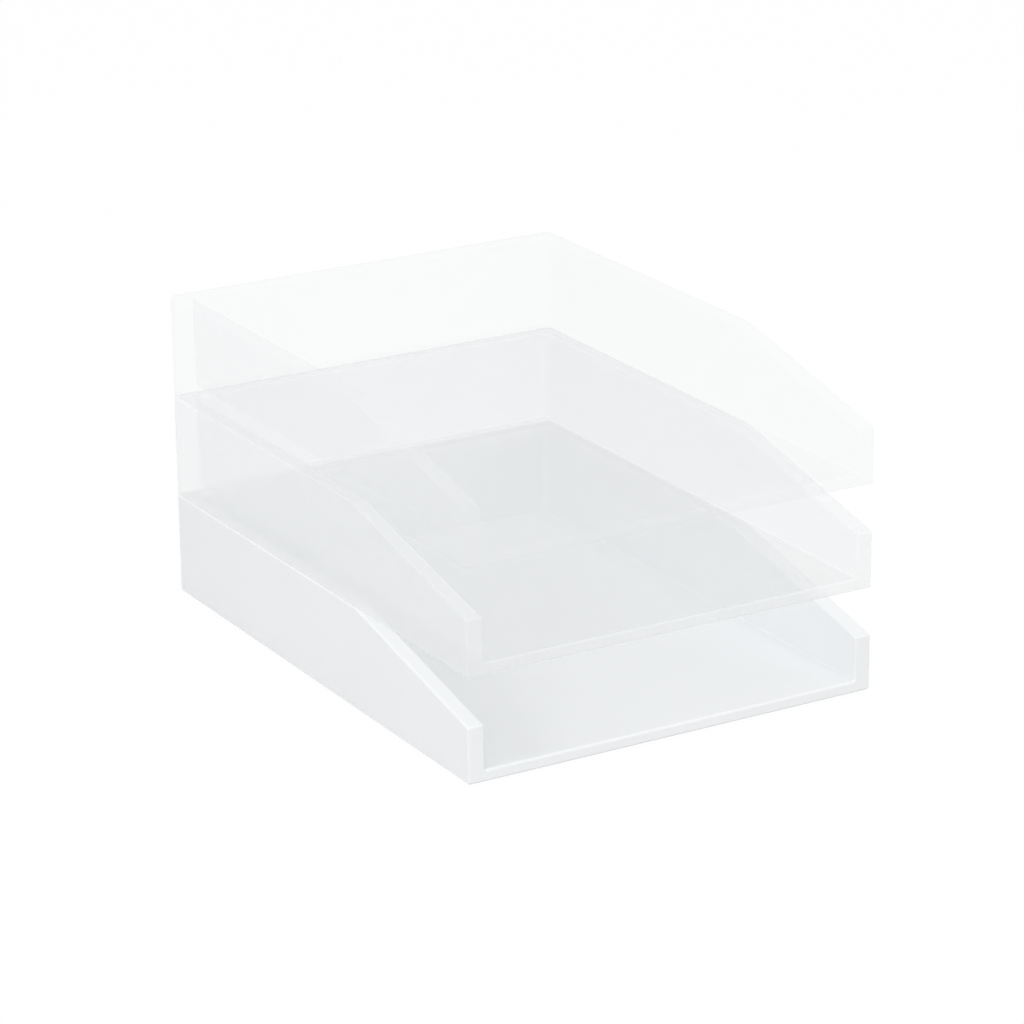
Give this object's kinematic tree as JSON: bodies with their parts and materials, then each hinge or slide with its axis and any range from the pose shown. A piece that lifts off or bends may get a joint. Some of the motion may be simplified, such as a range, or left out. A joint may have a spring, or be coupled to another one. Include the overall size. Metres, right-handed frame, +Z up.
{
  "type": "letter tray stack",
  "caption": "Stack of letter trays with open fronts, hollow walls and rims that slope down to the front; each tray lifts off the one below.",
  "frame": {"origin": "on the desk, under the middle of the stack, level with the soles of the lowest feet", "axes": "+X to the right seen from the open front, +Y from the open front to the back wall, +Z up"},
  "size_m": [0.25, 0.335, 0.1785],
  "materials": {
    "white_gloss": "gloss white moulded plastic",
    "milky_see_through": "gloss milky see-through moulded plastic",
    "faint_see_through": "gloss faintly milky clear moulded plastic",
    "white_rubber": "matt white rubber",
    "clear_rubber": "clear soft rubber"
  },
  "bodies": {
    "bottom_tray": {"bottom_tray_shell": "white_gloss", "bottom_tray_base_cover": "white_gloss", "bottom_tray_foot_front_left": "white_rubber", "bottom_tray_foot_front_right": "white_rubber", "bottom_tray_foot_back_left": "white_rubber", "bottom_tray_foot_back_right": "white_rubber"},
    "middle_tray": {"middle_tray_shell": "milky_see_through", "middle_tray_base_cover": "milky_see_through", "middle_tray_foot_front_left": "clear_rubber", "middle_tray_foot_front_right": "clear_rubber", "middle_tray_foot_back_left": "clear_rubber", "middle_tray_foot_back_right": "clear_rubber"},
    "top_tray": {"top_tray_shell": "faint_see_through", "top_tray_base_cover": "faint_see_through", "top_tray_foot_front_left": "clear_rubber", "top_tray_foot_front_right": "clear_rubber", "top_tray_foot_back_left": "clear_rubber", "top_tray_foot_back_right": "clear_rubber"}
  },
  "joints": [
    {"name": "middle_tray_lift", "type": "slide", "parent": "bottom_tray", "child": "middle_tray", "axis": [0, 0, 1], "range_m": [0, 0.1]},
    {"name": "top_tray_lift", "type": "slide", "parent": "middle_tray", "child": "top_tray", "axis": [0, 0, 1], "range_m": [0, 0.1]}
  ]
}
